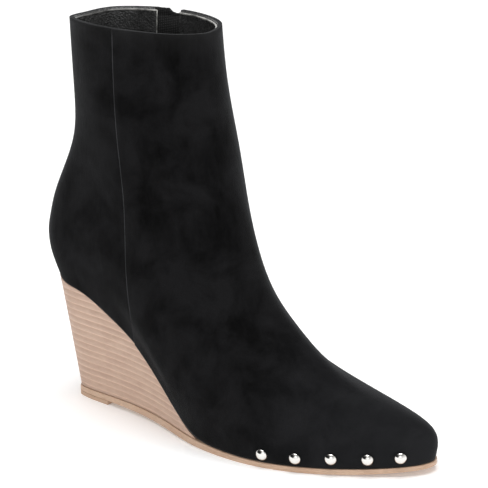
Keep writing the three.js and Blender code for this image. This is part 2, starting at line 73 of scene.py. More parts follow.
# The upper: quarters, vamp and shaft cut from black suede, lasted over the wedge, with a leather
# lining inside. The nap is brushed, so it shows soft clouds. Its colour is painted lighter towards the
# toe, a painted highlight where light falls on the forefoot. The folded edges are lighter too: rubbed
# nap at the collar, and rubbed nap with a painted highlight along the outer seam.
CREASE_EDGE = "crease_edge"
SPINE = [Vector(p) / 1000 for p in (
    (37, 0, 232), (38, 0, 120), (62, 0, 74), (120, 0, 25), (190, 3, 15))]
RIM_CREASE = 0.45
FOLD_CREASE = 1.0
FOLD_WIDTH = 0.0014
EDGE_TURN = math.radians(50)
RIM_FOOT = 0.2245
SEAT_TOP = 0.085
EASE_REACH = 0.03
EASE_FADE = 0.012
EASE_FRONT = 0.115
EASE_SHARE = 0.5
EASE_ROUNDS = 4
ON_THE_EDGE = 0.0001
# From here to the toe the suede is painted lighter: a painted highlight where light falls on the
# forefoot.
TOE_HIGHLIGHT_START = 0.125
TOE_HIGHLIGHT_END = 0.2
TOE_HIGHLIGHT_SHARE = 0.22

# Soft troughs (depth below 0) and ridges where the suede gives: start, end, half width, depth, in mm.
UPPER_SOFTNESS = [
    ((66, -20, 118), (84, -14, 112), 7, -0.8),
    ((62, -26, 100), (86, -18, 97), 8, 0.5),
    ((60, 24, 102), (84, 18, 97), 8, -0.8),
    ((64, -30, 84), (92, -24, 78), 9, -0.5),
    ((4, -18, 128), (22, -30, 120), 8, -0.6),
    ((2, -14, 112), (20, -30, 106), 8, 0.4),
    ((4, 16, 126), (22, 28, 118), 8, -0.6),
    ((118, -30, 38), (134, -18, 52), 9, -0.4),
    ((126, -34, 26), (146, -24, 42), 8, 0.3),
    ((122, 32, 34), (140, 20, 48), 9, -0.5),
]


def linear(red, green, blue):
    """A colour given in the usual 0 to 255 values, as the shader's own light values."""
    def one(value):
        value /= 255
        return value / 12.92 if value <= 0.04045 else ((value + 0.055) / 1.055) ** 2.4
    return (one(red), one(green), one(blue), 1)


def new_material(name):
    material = bpy.data.materials.new(name)
    material.use_nodes = True
    return material, material.node_tree, material.node_tree.nodes["Principled BSDF"]


def node(tree, kind, inputs=(), **settings):
    """Adds a node. inputs maps its sockets to a value or to another node's output."""
    made = tree.nodes.new("ShaderNode" + kind)
    for name, value in settings.items():
        setattr(made, name, value)
    for name, value in dict(inputs).items():
        if isinstance(value, bpy.types.NodeSocket):
            tree.links.new(value, made.inputs[name])
        else:
            made.inputs[name].default_value = value
    return made


def object_coordinates(tree):
    return node(tree, "TexCoord").outputs["Object"]


def noise(tree, vector, scale, detail=3.0, roughness=0.55, distortion=0.0):
    made = node(tree, "TexNoise", {"Vector": vector, "Scale": scale, "Detail": detail,
                                   "Roughness": roughness, "Distortion": distortion})
    return made.outputs["Fac"]


def spread(tree, value, low, high, to_low=0.0, to_high=1.0):
    made = node(tree, "MapRange", {"Value": value, "From Min": low, "From Max": high,
                                   "To Min": to_low, "To Max": to_high})
    return made.outputs["Result"]


def mixed(tree, share, first, second, blend="MIX"):
    made = node(tree, "Mix", data_type="RGBA", blend_type=blend)
    for socket, value in (("Factor_Float", share), ("A_Color", first), ("B_Color", second)):
        target = next(s for s in made.inputs if s.identifier == socket)
        if isinstance(value, bpy.types.NodeSocket):
            tree.links.new(value, target)
        else:
            target.default_value = value
    return next(s for s in made.outputs if s.identifier == "Result_Color")


def bump(tree, shader, height, distance, strength=1.0, below=None):
    made = node(tree, "Bump", {"Height": height, "Distance": distance, "Strength": strength})
    if below:
        tree.links.new(below.outputs["Normal"], made.inputs["Normal"])
    tree.links.new(made.outputs["Normal"], shader.inputs["Normal"])
    return made


def suede_material(name, dark, light):
    material, tree, shader = new_material(name)
    place = object_coordinates(tree)
    clouds = noise(tree, place, 38, 4, 0.6, 0.4)
    strokes_place = node(tree, "Mapping", {"Vector": place, "Scale": (1, 1, 0.35)}).outputs["Vector"]
    strokes = noise(tree, strokes_place, 160, 4, 0.65, 0.8)
    nap = noise(tree, place, 1500, 3, 0.7)
    tone = mixed(tree, spread(tree, clouds, 0.4, 0.62), dark, light)
    tone = mixed(tree, spread(tree, strokes, 0.3, 0.72, 0.0, 0.45), tone, light)
    tone = mixed(tree, spread(tree, nap, 0.35, 0.75, 0.0, 0.4), tone, linear(8, 8, 8))
    # Lighter towards the toe along X: a painted highlight on the forefoot.
    along = node(tree, "SeparateXYZ", {"Vector": place}).outputs["X"]
    tone = mixed(tree, spread(tree, along, TOE_HIGHLIGHT_START, TOE_HIGHLIGHT_END, 0.0, TOE_HIGHLIGHT_SHARE), tone,
                 linear(56, 57, 60))
    # Lighter where this attribute is set: rubbed nap at the collar, rubbed nap and a painted highlight
    # on the seam's fold.
    rub_and_highlight = node(tree, "Attribute", attribute_name="rub_and_highlight").outputs["Fac"]
    tone = mixed(tree, rub_and_highlight, tone, linear(78, 78, 78))
    tree.links.new(tone, shader.inputs["Base Color"])
    shader.inputs["Roughness"].default_value = 0.95
    shader.inputs["Specular IOR Level"].default_value = 0.04
    shader.inputs["Sheen Weight"].default_value = 0.13
    shader.inputs["Sheen Roughness"].default_value = 0.35
    shader.inputs["Sheen Tint"].default_value = (0.75, 0.77, 0.8, 1)
    coarse = bump(tree, shader, strokes, 0.0003, 0.5)
    bump(tree, shader, nap, 0.0002, 0.8, coarse)
    return material


def lining_material():
    material, tree, shader = new_material("lining_leather")
    place = object_coordinates(tree)
    cells = node(tree, "TexVoronoi", {"Vector": place, "Scale": 850, "Randomness": 0.9})
    pores = noise(tree, place, 420, 4, 0.6)
    shine = noise(tree, place, 60, 3)
    tone = mixed(tree, spread(tree, pores, 0.3, 0.7), linear(38, 38, 38), linear(66, 66, 66))
    tree.links.new(tone, shader.inputs["Base Color"])
    tree.links.new(spread(tree, shine, 0.3, 0.7, 0.2, 0.36), shader.inputs["Roughness"])
    shader.inputs["Specular IOR Level"].default_value = 0.65
    grain = bump(tree, shader, cells.outputs["Distance"], 0.0004, 0.7)
    bump(tree, shader, pores, 0.0003, 0.5, grain)
    return material


suede = suede_material("suede", linear(6, 6, 6), linear(26, 26, 27))
lining_leather = lining_material()


def merged_copy(name):
    """A bmesh copy of a CAD node with its doubles merged and its pairs of triangles joined."""
    bm = bmesh.new()
    bm.from_mesh(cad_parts[name].data)
    bmesh.ops.remove_doubles(bm, verts=bm.verts, dist=1e-5)
    bmesh.ops.join_triangles(bm, faces=bm.faces, angle_face_threshold=math.radians(80),
                             angle_shape_threshold=math.radians(80), topology_influence=2.0)
    for face in bm.faces:
        face.smooth = True
    bm.normal_update()
    return bm


def new_piece(name, bm, *materials):
    mesh = bpy.data.meshes.new(name)
    bm.to_mesh(mesh)
    bm.free()
    for material in materials:
        mesh.materials.append(material)
    made = bpy.data.objects.new(name, mesh)
    bpy.context.scene.collection.objects.link(made)
    return made


def add_subdivision(piece, levels):
    modifier = piece.modifiers.new("subdivision", "SUBSURF")
    modifier.levels = modifier.render_levels = levels
    modifier.use_limit_surface = False
    return modifier


def nearest_on_line(point, line):
    """The nearest point to a point on a polyline."""
    best = None
    for start, end in zip(line, line[1:]):
        along = end - start
        share = max(0, min(1, (point - start).dot(along) / along.length_squared))
        found = start + along * share
        if best is None or (found - point).length < (best - point).length:
            best = found
    return best


def faces_inside(bm):
    """The faces of the upper that look at the foot or leg."""
    found = []
    for face in bm.faces:
        centre = face.calc_center_median()
        inwards = (nearest_on_line(centre, SPINE) - centre).normalized()
        if face.normal.dot(inwards) > 0.3:
            found.append(face)
    return found


def ease_columns(bm, skipped, rim, rounds):
    """Evens out the suede above the wedge: points move across the line of their column's
    neighbours, most of all near the edge on the sole."""
    for _ in range(rounds):
        away = {v: min((v.co - place).length for place in rim) for v in bm.verts}
        moves = []
        for vertex in bm.verts:
            share = min(1, (EASE_REACH - away[vertex]) / EASE_FADE)
            inside = any(face in skipped for face in vertex.link_faces)
            if inside or away[vertex] < ON_THE_EDGE or share <= 0 or vertex.co.x > EASE_FRONT:
                continue
            climb = sorted((e.other_vert(vertex) for e in vertex.link_edges), key=lambda v: away[v])
            below, above = climb[0].co, climb[-1].co
            along = above - below
            straight = below + along * ((vertex.co - below).dot(along) / along.length_squared)
            moves.append((vertex, vertex.co.lerp(straight, EASE_SHARE * share)))
        for vertex, place in moves:
            vertex.co = place


upper_mesh = merged_copy("upper")
upper_tree = BVHTree.FromBMesh(upper_mesh)
inside_set = set(faces_inside(upper_mesh))
crease = upper_mesh.edges.layers.float.new(CREASE_EDGE)
rub_and_highlight = upper_mesh.verts.layers.float.new("rub_and_highlight")
for face in upper_mesh.faces:
    face.material_index = 1 if face in inside_set else 0

# The narrow faces on the outer side are the step of the seam: their front edge is the fold.
fold_edges = []
for face in upper_mesh.faces:
    centre = face.calc_center_median()
    if face in inside_set or centre.y > -0.018 or not 0.035 < centre.x < 0.06 or len(face.verts) != 4:
        continue
    short = sorted(face.edges, key=lambda e: e.calc_length())[:2]
    if short[0].calc_length() > FOLD_WIDTH:
        continue
    sides = sorted((e for e in face.edges if e not in short), key=lambda e: sum(v.co.x for v in e.verts))
    fold_edges.append(sides[-1])
    for edge in sides:
        edge[crease] = FOLD_CREASE
        edge.smooth = False
    # The fold's points are painted a little lighter: rubbed nap and a painted highlight along the fold.
    for vertex in sides[-1].verts:
        vertex[rub_and_highlight] = 0.03

# The collar's rim is folded over too, and the edge on the sole stays where the last puts it.
for edge in upper_mesh.edges:
    if edge.calc_face_angle(0) <= EDGE_TURN:
        continue
    middle = (edge.verts[0].co + edge.verts[1].co) / 2
    flat = abs(edge.link_faces[0].normal.z) > 0.6 or abs(edge.link_faces[1].normal.z) > 0.6
    edge[crease] = 1 if flat and middle.z <= RIM_FOOT else RIM_CREASE
for vertex in upper_mesh.verts:
    if vertex.co.z > RIM_FOOT:
        vertex[rub_and_highlight] = 0.07

# The suede turns in to the wedge in one even curve.
sole_edge = [v.co.copy() for e in upper_mesh.edges if e[crease] == 1 and e.calc_face_angle(0) > 1
             for v in e.verts if v.co.z < SEAT_TOP]
ease_columns(upper_mesh, inside_set, sole_edge, EASE_ROUNDS)
upper_mesh.normal_update()
fold_line = sorted({v for e in fold_edges for v in e.verts}, key=lambda v: v.co.z)
fold_line = [v.co.copy() for v in fold_line]
upper_piece = new_piece("upper_suede", upper_mesh, suede, lining_leather)


def refined(piece, levels):
    """Applies some levels of subdivision to a piece, keeping its material slots."""
    modifier = add_subdivision(piece, levels)
    held = piece.evaluated_get(bpy.context.evaluated_depsgraph_get())
    mesh = bpy.data.meshes.new_from_object(held)
    piece.modifiers.remove(modifier)
    piece.data = mesh


def soften(piece, marks):
    """Moves a piece's points in or out along its normals by soft troughs and ridges."""
    normals = [vertex.normal.copy() for vertex in piece.data.vertices]
    for vertex, normal in zip(piece.data.vertices, normals):
        shift = 0.0
        for start, end, width, depth in marks:
            line = [Vector(start) / 1000, Vector(end) / 1000]
            nearest = nearest_on_line(vertex.co, line)
            away = (vertex.co - nearest).length / (width / 1000)
            if away < 3:
                shift += depth / 1000 * math.exp(-away * away)
        if not shift:
            continue
        inwards = (nearest_on_line(vertex.co, SPINE) - vertex.co).normalized()
        vertex.co += normal * (-shift if inwards.dot(normal) > 0.2 else shift)


refined(upper_piece, 1)
soften(upper_piece, UPPER_SOFTNESS)
add_subdivision(upper_piece, 1)
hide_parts("upper")
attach(upper_piece, "boot")


# The outer seam: the front panel's edge is folded under and laps over the back panel, so a thin
# rounded edge runs from the sole up to the collar. Its lighter colour is rubbed nap and a painted
# highlight along the fold.
FOLD_RADIUS = 0.00034


def cord_along(name, points, radius, material, sides=2):
    """A round cord along points, made a mesh."""
    curve = bpy.data.curves.new(name, "CURVE")
    curve.dimensions = "3D"
    curve.bevel_depth = radius
    curve.bevel_resolution = sides
    curve.use_fill_caps = True
    curve.resolution_u = 4
    spline = curve.splines.new("NURBS")
    spline.points.add(len(points) - 1)
    for slot, point in zip(spline.points, points):
        slot.co = (*point, 1)
    spline.order_u = 3
    spline.use_endpoint_u = True
    holder = bpy.data.objects.new(name, curve)
    bpy.context.scene.collection.objects.link(holder)
    bpy.context.view_layer.update()
    mesh = bpy.data.meshes.new_from_object(holder.evaluated_get(
        bpy.context.evaluated_depsgraph_get()))
    bpy.data.objects.remove(holder)
    bm = bmesh.new()
    bm.from_mesh(mesh)
    bmesh.ops.remove_doubles(bm, verts=bm.verts, dist=1e-7)
    bmesh.ops.recalc_face_normals(bm, faces=bm.faces)
    for face in bm.faces:
        face.smooth = True
    return new_piece(name, bm, material)


# The cord's light suede is partly a painted highlight where the fold catches the light.
suede_fold_highlight = suede_material("suede_fold_highlight", linear(44, 44, 45), linear(62, 62, 64))
fold_path = []
for point in fold_line:
    _, normal, _, _ = upper_tree.find_nearest(point)
    fold_path.append(point - normal * FOLD_RADIUS * 0.75)
seam_piece = cord_along("seam_fold", fold_path, FOLD_RADIUS, suede_fold_highlight)
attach(seam_piece, "boot")


# The lining of the shaft: black grained leather, cut in one piece from the zip round the leg and
# back. Its top edge is turned in a little below the collar, and a thin piping edges it along the zip.
# The turned edge and the back piping carry a painted highlight, light grey on the black leather,
# painted dark again towards the back of the collar.
LINING_FOOT = 0.086
LINING_DROP = 0.0014
LINING_STAND = 0.00012
LINING_THICKNESS = 0.0006
ROLL_RADIUS = 0.0006
PIPING_RADIUS = 0.0004
WINDOW_BACK = 0.0066
WINDOW_FRONT = 0.0088
TAPE_HALF = 0.0115
TAPE_REACH = 0.019
TAPE_STAND = 0.0013


def middle_line(node_name, corners):
    """The middle line of a CAD strip whose rows have that many corners, from its foot up."""
    bm = merged_copy(node_name)
    corner_places = sorted((v.co.copy() for v in bm.verts), key=lambda place: place.z)
    bm.free()
    rows = range(0, len(corner_places) - corners + 1, corners)
    return [sum(corner_places[i:i + corners], Vector()) / corners for i in rows]


chain_line = middle_line("zip_chain", 4)


def zip_middle(height):
    """X of the zip's middle line at a height."""
    line = chain_line
    for start, end in zip(line, line[1:]):
        if height <= end.z or end is line[-1]:
            return start.lerp(end, (height - start.z) / (end.z - start.z)).x


lining_mesh = merged_copy("upper")
lining_faces = set(faces_inside(lining_mesh))
others = [f for f in lining_mesh.faces
          if f not in lining_faces or f.calc_center_median().z < LINING_FOOT]
bmesh.ops.delete(lining_mesh, geom=others, context="FACES")
top_edge = []
for vertex in lining_mesh.verts:
    if vertex.is_boundary and vertex.co.z > 0.222:
        below = min((e.other_vert(vertex) for e in vertex.link_edges), key=lambda v: v.co.z)
        down = (below.co - vertex.co).normalized()
        top_edge.append((vertex, vertex.co + down * LINING_DROP))
for vertex, place in top_edge:
    vertex.co = place
lining_mesh.normal_update()
moves = []
for vertex in lining_mesh.verts:
    stand = LINING_STAND
    place = vertex.co.copy()
    aside = place.x - zip_middle(place.z)
    if place.y > 0.012 and abs(aside) < TAPE_REACH:
        share = min(1, (TAPE_REACH - abs(aside)) / (TAPE_REACH - TAPE_HALF))
        stand += TAPE_STAND * share * share * (3 - 2 * share)
        if vertex.is_boundary and abs(aside) < 0.0095 and place.z > LINING_FOOT + 0.01:
            place.x += WINDOW_FRONT - aside if aside > 0 else -WINDOW_BACK - aside
    moves.append((vertex, place + vertex.normal * stand))
for vertex, place in moves:
    vertex.co = place
lining_mesh.normal_update()
window_sides = {-1: [], 1: []}
for vertex in lining_mesh.verts:
    aside = vertex.co.x - zip_middle(vertex.co.z)
    edge_place = WINDOW_FRONT if aside > 0 else -WINDOW_BACK
    if vertex.is_boundary and vertex.co.y > 0.012 and abs(aside - edge_place) < 0.0012:
        if vertex.co.z > LINING_FOOT + 0.01:
            window_sides[1 if aside > 0 else -1].append(vertex)
roll_points = [v for v, _ in top_edge]
roll_points.sort(key=lambda v: -math.atan2(v.co.x - 0.040, v.co.y - 0.004))
start = max(range(len(roll_points)),
            key=lambda i: (roll_points[i].co - roll_points[i - 1].co).length)
roll_points = roll_points[start:] + roll_points[:start]
roll_path = [v.co + v.normal * (LINING_THICKNESS + ROLL_RADIUS * 0.3) for v in roll_points]
piping_paths = [
    [v.co + v.normal * (LINING_THICKNESS * 0.5) for v in sorted(side, key=lambda v: v.co.z)]
    for side in window_sides.values()
]
lining_piece = new_piece("lining", lining_mesh, lining_leather)
solid = lining_piece.modifiers.new("thickness", "SOLIDIFY")
solid.thickness = LINING_THICKNESS
solid.offset = 1
add_subdivision(lining_piece, 2)
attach(lining_piece, "boot")


def edge_leather_material():
    material, tree, shader = new_material("lining_edge_highlight")
    place = object_coordinates(tree)
    # The light grey on this black leather is a painted highlight where the edge catches the light;
    # towards the back (low X) it is painted dark, where the highlight ends.
    highlight_patches = noise(tree, place, 120, 4, 0.6)
    painted_highlight = mixed(tree, spread(tree, highlight_patches, 0.35, 0.65), linear(96, 96, 94), linear(182, 181, 177))
    back = node(tree, "SeparateXYZ", {"Vector": place}).outputs["X"]
    tree.links.new(mixed(tree, spread(tree, back, 0.0, 0.024, 0.85, 0.0), painted_highlight,
                         linear(44, 44, 44)), shader.inputs["Base Color"])
    tree.links.new(spread(tree, highlight_patches, 0.3, 0.7, 0.22, 0.4), shader.inputs["Roughness"])
    shader.inputs["Specular IOR Level"].default_value = 0.6
    bump(tree, shader, noise(tree, place, 900, 3), 0.0002, 0.5)
    return material


lining_edge_highlight = edge_leather_material()
# The turned edge and the back piping get the painted highlight; the front piping is plain lining
# leather.
for name, path, radius, material in (
    ("lining_turned_edge", roll_path, ROLL_RADIUS, lining_edge_highlight),
    ("zip_piping_back", piping_paths[0], PIPING_RADIUS, lining_edge_highlight),
    ("zip_piping_front", piping_paths[1], PIPING_RADIUS, lining_leather),
):
    cord = cord_along(name, path, radius, material)
    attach(cord, "boot")


# The wedge: a core wrapped in stacked heel leather. The layers lie about 4 mm apart and follow the
# outsole; a fine light line with a shallow groove marks each joint, and the layers differ a little.
LAYER_PITCH = 0.004
GROOVE_HALF = 0.00022
GROOVE_DEPTH = 0.00014
ARCH_FALL = 0.003
ARCH_START = 0.013
ARCH_END = 0.12


def arch_fall(x):
    """How far the layers drop from the heel tip to a place under the arch."""
    share = max(0, min(1, (x - ARCH_START) / (ARCH_END - ARCH_START)))
    return ARCH_FALL * share * share * (3 - 2 * share)


def stack_material():
    material, tree, shader = new_material("stacked_leather")
    place = object_coordinates(tree)
    split = node(tree, "SeparateXYZ", {"Vector": place}).outputs
    fall = node(tree, "MapRange", {"Value": split["X"], "From Min": ARCH_START, "From Max": ARCH_END,
                                   "To Min": 0.0, "To Max": ARCH_FALL},
                interpolation_type="SMOOTHSTEP").outputs["Result"]
    height = node(tree, "Math", {0: split["Z"], 1: fall}, operation="ADD").outputs[0]
    layers = node(tree, "Math", {0: height, 1: LAYER_PITCH}, operation="DIVIDE").outputs[0]
    within = node(tree, "Math", {0: layers}, operation="FRACT").outputs[0]
    number = node(tree, "Math", {0: layers}, operation="FLOOR").outputs[0]
    ramp = node(tree, "ValToRGB", {"Fac": within})
    stops = ramp.color_ramp.elements
    bands = [
        (0.0, linear(226, 197, 176)),
        (0.07, linear(222, 192, 171)),
        (0.16, linear(197, 168, 150)),
        (0.45, linear(186, 157, 140)),
        (0.74, linear(181, 152, 135)),
        (0.9, linear(190, 160, 141)),
        (1.0, linear(224, 194, 172)),
    ]
    while len(stops) < len(bands):
        stops.new(0.5)
    for stop, (position, colour) in zip(stops, bands):
        stop.position = position
        stop.color = colour
    each = node(tree, "TexWhiteNoise", {"W": number}, noise_dimensions="1D").outputs["Value"]
    tone = mixed(tree, spread(tree, each, 0, 1, 0.0, 0.45), ramp.outputs["Color"],
                 linear(196, 166, 147))
    grain_place = node(tree, "Mapping", {"Vector": place, "Scale": (0.12, 0.12, 1)}).outputs["Vector"]
    grain = noise(tree, grain_place, 1500, 4, 0.65, 0.2)
    tone = mixed(tree, spread(tree, grain, 0.35, 0.7, 0.0, 0.3), tone, linear(150, 122, 104))
    stains = noise(tree, place, 75, 3, 0.6)
    tone = mixed(tree, spread(tree, stains, 0.4, 0.75, 0.0, 0.22), tone, linear(222, 196, 176))
    tree.links.new(tone, shader.inputs["Base Color"])
    tree.links.new(spread(tree, grain, 0.3, 0.7, 0.42, 0.6), shader.inputs["Roughness"])
    shader.inputs["Specular IOR Level"].default_value = 0.3
    bump(tree, shader, grain, 0.00012, 0.5)
    return material


def sharpen(bm, angle):
    """Marks the edges of a bmesh that turn by more than an angle as sharp."""
    for edge in bm.edges:
        edge.smooth = edge.calc_face_angle(0) < math.radians(angle)


def cut_level(bm, height):
    """Cuts a bmesh at a height and gives the points that lie on the cut."""
    everything = bm.verts[:] + bm.edges[:] + bm.faces[:]
    cut = bmesh.ops.bisect_plane(bm, geom=everything, dist=1e-7, plane_co=(0, 0, height),
                                 plane_no=(0, 0, 1))
    return [g for g in cut["geom_cut"] if isinstance(g, bmesh.types.BMVert)]


stack = stack_material()
wedge_mesh = merged_copy("wedge")
wedge_low, wedge_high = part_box("wedge")
for vertex in wedge_mesh.verts:
    vertex.co.z += arch_fall(vertex.co.x)
layer = math.ceil((wedge_low.z + 0.0012) / LAYER_PITCH)
grooves = []
while layer * LAYER_PITCH < wedge_high.z - 0.001:
    height = layer * LAYER_PITCH
    cut_level(wedge_mesh, height - GROOVE_HALF)
    cut_level(wedge_mesh, height + GROOVE_HALF)
    grooves += cut_level(wedge_mesh, height)
    layer += 1
wedge_mesh.normal_update()
pushed = [(v, v.co - Vector((v.normal.x, v.normal.y, 0)).normalized() * GROOVE_DEPTH)
          for v in grooves if v.is_valid and abs(v.normal.z) < 0.5]
for vertex, place in pushed:
    vertex.co = place
for vertex in wedge_mesh.verts:
    vertex.co.z -= arch_fall(vertex.co.x)
wedge_mesh.normal_update()
sharpen(wedge_mesh, 55)
wedge_piece = new_piece("wedge_stack", wedge_mesh, stack)
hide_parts("wedge")
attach(wedge_piece, "boot")


# The outsole and the heel tip: thin tan sole leather, cut flush with the wedge, edges trimmed and
# waxed, and a rubber tip of the same colour under the heel. The insole board inside is covered
# with lining leather.
def sole_material(name, body, edge, roughness):
    material, tree, shader = new_material(name)
    place = object_coordinates(tree)
    fibre_place = node(tree, "Mapping", {"Vector": place, "Scale": (0.25, 0.25, 1)}).outputs["Vector"]
    fibre = noise(tree, fibre_place, 1300, 4, 0.6)
    patches = noise(tree, place, 45, 3, 0.6)
    tone = mixed(tree, spread(tree, patches, 0.35, 0.7), body, edge)
    tone = mixed(tree, spread(tree, fibre, 0.4, 0.75, 0.0, 0.35), tone, linear(150, 120, 98))
    tree.links.new(tone, shader.inputs["Base Color"])
    tree.links.new(spread(tree, patches, 0.3, 0.7, roughness - 0.06, roughness + 0.08),
                   shader.inputs["Roughness"])
    shader.inputs["Specular IOR Level"].default_value = 0.35
    bump(tree, shader, fibre, 0.0001, 0.5)
    return material


def bevelled(name, source, width, segments, *materials):
    """A merged copy of a CAD node with its sharp edges rounded by a Bevel modifier."""
    bm = merged_copy(source)
    made = new_piece(name, bm, *materials)
    modifier = made.modifiers.new("rounding", "BEVEL")
    modifier.width = width
    modifier.segments = segments
    modifier.limit_method = "ANGLE"
    modifier.angle_limit = math.radians(40)
    modifier.harden_normals = True
    return made


sole_leather = sole_material("sole_leather", linear(196, 163, 138), linear(207, 178, 154), 0.45)
tip_rubber = sole_material("tip_rubber", linear(203, 172, 147), linear(196, 166, 142), 0.6)
for name, source, material, slot in (
    ("outsole_leather", "outsole", sole_leather, "sole_leather"),
    ("heel_tip_rubber", "heel_tip", tip_rubber, "tip_rubber"),
    ("insole_board", "insole", lining_leather, "lining_leather"),
):
    part = bevelled(name, source, 0.0004, 3, material)
    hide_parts(source)
    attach(part, "boot")


# The dome studs: pressed from steel, polished, set in a row just above the sole, five on each side
# of the forefoot.
def steel_material():
    material, tree, shader = new_material("polished_steel")
    place = object_coordinates(tree)
    wear = noise(tree, place, 900, 3, 0.6)
    shader.inputs["Metallic"].default_value = 1.0
    tree.links.new(mixed(tree, wear, linear(236, 234, 230), linear(224, 222, 218)),
                   shader.inputs["Base Color"])
    tree.links.new(spread(tree, wear, 0.3, 0.75, 0.03, 0.09), shader.inputs["Roughness"])
    return material


steel = steel_material()
for side in ("outer", "inner"):
    row = bmesh.new()
    names = [f"stud_{side}_{i + 1}" for i in range(5)]
    for name in names:
        copy = merged_copy(name)
        layer = copy.edges.layers.float.new(CREASE_EDGE)
        for edge in copy.edges:
            if edge.calc_face_angle(0) > math.radians(60):
                edge[layer] = 1.0
        kept = bpy.data.meshes.new(name)
        copy.to_mesh(kept)
        copy.free()
        row.from_mesh(kept)
        bpy.data.meshes.remove(kept)
    studs = new_piece(f"studs_{side}", row, steel)
    add_subdivision(studs, 2)
    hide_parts(*names)
    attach(studs, "boot")


# The zip on the inner side: woven tape sewn behind the slot, two rows of teeth that mesh, a steel
# slider with its bridge, and the pull tab that hangs from it.
TOOTH_PITCH = 0.0013
TOOTH_LENGTH = 0.0026
TOOTH_WIDTH = 0.00072
TOOTH_DEPTH = 0.0014
TAPE_END_WIDTH = 0.0152
TAPE_END_BELOW = 0.004
TAPE_END_ABOVE = 0.0032
TAPE_END_STEP = 0.0022
TAPE_END_STEP_START = 0.0015
TAPE_END_STEP_LENGTH = 0.002
TAPE_END_FRAY = 0.0004
TAPE_END_BACK = 0.0004
TAPE_TOP_INSET = 0.0015
STITCH_PITCH = 0.0031
STITCH_LENGTH = 0.0023
STITCH_RADIUS = 0.00028
STITCH_ASIDE = 0.0062
STOP_SIZE = (0.0056, 0.0024, 0.0019, 1)


def tape_material():
    material, tree, shader = new_material("zip_tape")
    place = object_coordinates(tree)
    weft = node(tree, "TexWave", {"Vector": place, "Scale": 330.0, "Distortion": 1.0,
                                  "Detail Scale": 40.0}, bands_direction="Z").outputs["Fac"]
    warp = node(tree, "TexWave", {"Vector": place, "Scale": 260.0, "Distortion": 0.6,
                                  "Detail Scale": 40.0}, bands_direction="X").outputs["Fac"]
    weave = node(tree, "Math", {0: weft, 1: warp}, operation="MULTIPLY").outputs[0]
    fuzz = noise(tree, place, 900, 4, 0.7)
    tone = mixed(tree, weave, linear(14, 14, 14), linear(58, 58, 58))
    tone = mixed(tree, spread(tree, fuzz, 0.4, 0.7, 0, 0.5), tone, linear(30, 30, 30))
    tree.links.new(tone, shader.inputs["Base Color"])
    shader.inputs["Roughness"].default_value = 0.85
    shader.inputs["Specular IOR Level"].default_value = 0.25
    woven = bump(tree, shader, weave, 0.0005, 0.8)
    bump(tree, shader, fuzz, 0.0002, 0.5, woven)
    return material


def teeth_material():
    material, tree, shader = new_material("zip_teeth")
    place = object_coordinates(tree)
    wear = noise(tree, place, 700, 3, 0.6)
    shader.inputs["Metallic"].default_value = 0.9
    tree.links.new(mixed(tree, wear, linear(62, 62, 64), linear(96, 96, 98)),
                   shader.inputs["Base Color"])
    tree.links.new(spread(tree, wear, 0.3, 0.7, 0.25, 0.42), shader.inputs["Roughness"])
    return material


tape = tape_material()
teeth = teeth_material()
tape_mesh = merged_copy("zip_tape")
tape_tree = BVHTree.FromBMesh(tape_mesh)
tape_piece = new_piece("zip_tape_woven", tape_mesh, tape)
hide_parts("zip_tape")
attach(tape_piece, "boot")


def along_chain(distance):
    """Place and direction on the chain's middle line at a distance from its foot."""
    for start, end in zip(chain_line, chain_line[1:]):
        step = (end - start).length
        if distance <= step or end is chain_line[-1]:
            return start.lerp(end, distance / step), (end - start).normalized()
        distance -= step


chain_length = sum((b - a).length for a, b in zip(chain_line, chain_line[1:]))
teeth_mesh = bmesh.new()
count = int(chain_length / TOOTH_PITCH)
for i in range(count):
    for side in (-1, 1):
        place, up = along_chain((i + (0.25 if side > 0 else 0.75)) * TOOTH_PITCH)
        out = Vector((0, 1, 0)) - up * up.y
        out.normalize()
        across = up.cross(out)
        turn = Matrix((across, up, out)).transposed().to_4x4()
        where = Matrix.Translation(place + across * side * TOOTH_LENGTH * 0.36)
        size = Matrix.Diagonal((TOOTH_LENGTH, TOOTH_WIDTH, TOOTH_DEPTH, 1))
        made = bmesh.ops.create_cube(teeth_mesh, size=1, matrix=where @ turn @ size)
        edges = list({e for v in made["verts"] for e in v.link_edges})
        bmesh.ops.bevel(teeth_mesh, geom=edges, offset=0.00018, offset_type="OFFSET", segments=1,
                        profile=0.5, affect="EDGES", material=-1)
for face in teeth_mesh.faces:
    face.smooth = True
sharpen(teeth_mesh, 50)
teeth_piece = new_piece("zip_teeth_rows", teeth_mesh, teeth)
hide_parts("zip_chain")
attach(teeth_piece, "boot")

# The tape's end, cut a little ragged above the slot and lower on its front side.
tape_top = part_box("zip_tape")[1]
end_middle = zip_middle(tape_top.z)
end_mesh = bmesh.new()
bmesh.ops.create_grid(end_mesh, x_segments=14, y_segments=3, size=0.5)
for vertex in end_mesh.verts:
    aside = vertex.co.x * TAPE_END_WIDTH
    fray = 0.35 * math.sin(aside * 1900) + 0.25 * math.sin(aside * 4300 + 1)
    step = max(0, min(1, (aside - TAPE_END_STEP_START) / TAPE_END_STEP_LENGTH))
    rise = TAPE_END_ABOVE - TAPE_END_STEP * step + TAPE_END_FRAY * fray
    height = tape_top.z - TAPE_END_BELOW + (rise + TAPE_END_BELOW) * (vertex.co.y + 0.5)
    x = end_middle + aside
    inside = Vector((x, 0.0, min(height, tape_top.z - TAPE_TOP_INSET)))
    hit, _, _, _ = tape_tree.ray_cast(inside, Vector((0, 1, 0)))
    vertex.co = Vector((x, (hit.y if hit else tape_top.y) + TAPE_END_BACK, height))
for face in end_mesh.faces:
    face.smooth = True
tape_end = new_piece("zip_tape_end", end_mesh, tape)
tape_end_solid = tape_end.modifiers.new("thickness", "SOLIDIFY")
tape_end_solid.thickness = 0.0007
tape_end_solid.offset = 0
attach(tape_end, "boot")

